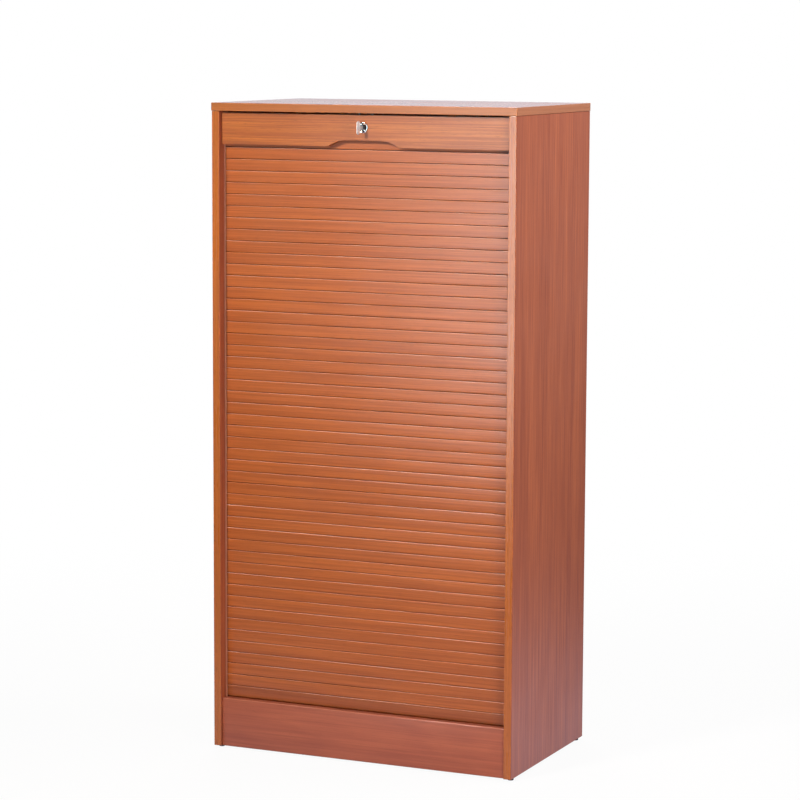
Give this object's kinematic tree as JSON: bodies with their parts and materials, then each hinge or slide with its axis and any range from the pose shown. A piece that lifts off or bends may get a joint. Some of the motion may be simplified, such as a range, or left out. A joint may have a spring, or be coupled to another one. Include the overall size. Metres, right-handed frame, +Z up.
{
  "type": "tambour door cabinet",
  "caption": "Tall free-standing board cabinet with a slatted curtain front that rolls down behind the plinth, a lock bar at the top, a key lock and inner shelves.",
  "frame": {"origin": "on the floor, under the middle of the whole outline, key included", "axes": "+Z up, +X to the right seen from the front, +Y from the front to the back"},
  "size_m": [0.65, 0.4066, 1.3],
  "materials": {
    "cherry_board": "semi-gloss cherry melamine",
    "cherry_slat": "semi-gloss cherry foil on slats",
    "raw_board": "cherry melamine, plain",
    "hardboard": "matt painted hardboard",
    "track_plastic": "matt brown-grey extrusion",
    "black_plastic": "moulded black",
    "zinc_steel": "zinc plated",
    "bright_chrome": "polished"
  },
  "bodies": {
    "cabinet": {"top_panel": "cherry_board", "plinth_board": "cherry_board", "deck_panel": "cherry_board", "left_side_panel": "cherry_board", "right_side_panel": "cherry_board", "shelf_1": "cherry_board", "shelf_2": "cherry_board", "curtain_section_01": "cherry_slat", "curtain_section_02": "cherry_slat", "curtain_section_03": "cherry_slat", "curtain_section_04": "cherry_slat", "curtain_section_05": "cherry_slat", "curtain_section_06": "cherry_slat", "curtain_section_07": "cherry_slat", "curtain_section_08": "cherry_slat", "curtain_tail": "cherry_slat", "rear_rail": "raw_board", "inner_back": "hardboard", "back_panel": "hardboard", "left_track": "track_plastic", "right_track": "track_plastic", "glide_front_left": "black_plastic", "glide_front_right": "black_plastic", "glide_rear_left": "black_plastic", "glide_rear_right": "black_plastic", "shelf_1_pin_front_left": "zinc_steel", "shelf_1_pin_front_right": "zinc_steel", "shelf_1_pin_rear_left": "zinc_steel", "shelf_1_pin_rear_right": "zinc_steel", "shelf_2_pin_front_left": "zinc_steel", "shelf_2_pin_front_right": "zinc_steel", "shelf_2_pin_rear_left": "zinc_steel", "shelf_2_pin_rear_right": "zinc_steel", "back_screw_1_left": "zinc_steel", "back_screw_1_right": "zinc_steel", "back_screw_2_left": "zinc_steel", "back_screw_2_right": "zinc_steel", "back_screw_3_left": "zinc_steel", "back_screw_3_right": "zinc_steel", "strike_plate": "zinc_steel", "strike_screw_left": "zinc_steel", "strike_screw_right": "zinc_steel"},
    "shutter_bar": {"lock_bar": "cherry_board", "leading_slat": "cherry_slat", "bar_guide_left": "black_plastic", "bar_guide_right": "black_plastic", "lock_housing": "bright_chrome", "lock_case": "zinc_steel", "lock_cover": "zinc_steel", "lock_screw_left": "zinc_steel", "lock_screw_right": "zinc_steel"},
    "lock_cylinder": {"lock_plug": "bright_chrome", "lock_cam": "zinc_steel"},
    "key": {"key": "bright_chrome"},
    "hook_left": {"lock_hook_left": "zinc_steel"},
    "hook_right": {"lock_hook_right": "zinc_steel"}
  },
  "joints": [
    {"name": "shutter_slide", "type": "slide", "parent": "cabinet", "child": "shutter_bar", "axis": [0, 0, -1], "range_m": [0, 1.113], "deforming": ["curtain_section_01", "curtain_section_02", "curtain_section_03", "curtain_section_04", "curtain_section_05", "curtain_section_06", "curtain_section_07", "curtain_section_08", "curtain_tail"]},
    {"name": "lock_turn", "type": "hinge", "parent": "shutter_bar", "child": "lock_cylinder", "pos_m": [0, -0.17525, 1.2565], "axis": [0, 1, 0], "range_deg": [0, 90]},
    {"name": "hook_left_swing", "type": "hinge", "parent": "shutter_bar", "child": "hook_left", "pos_m": [-0.0135, -0.1617, 1.2465], "axis": [0, -1, 0], "range_deg": [0, 6.5]},
    {"name": "hook_right_swing", "type": "hinge", "parent": "shutter_bar", "child": "hook_right", "pos_m": [0.0135, -0.1617, 1.2465], "axis": [0, 1, 0], "range_deg": [0, 6.5]},
    {"name": "key_pull", "type": "slide", "parent": "lock_cylinder", "child": "key", "axis": [0, -1, 0], "range_m": [0, 0.02]}
  ],
  "couplings": [
    {"joint": "hook_left_swing", "follows": "lock_turn", "ratio": 0.0722},
    {"joint": "hook_right_swing", "follows": "lock_turn", "ratio": 0.0722}
  ]
}
